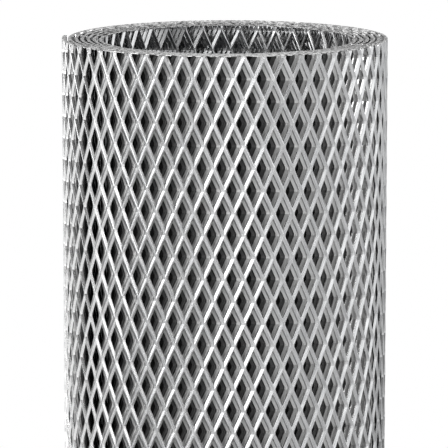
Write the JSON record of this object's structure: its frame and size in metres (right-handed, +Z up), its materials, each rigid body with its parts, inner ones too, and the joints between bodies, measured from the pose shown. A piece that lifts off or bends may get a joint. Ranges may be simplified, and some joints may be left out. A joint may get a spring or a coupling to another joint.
{
  "type": "expanded metal roll",
  "caption": "Roll of raised expanded metal mesh in bright steel, wound round an open bore and standing on its end.",
  "frame": {"origin": "middle of the lower end, on the roll's axis", "axes": "+Z up along the roll's axis, +Y away from the viewer of the picture"},
  "size_m": [0.348, 0.348, 1],
  "materials": {
    "bright_steel": "satin"
  },
  "bodies": {
    "root": {"mesh_roll": "bright_steel"}
  },
  "joints": []
}
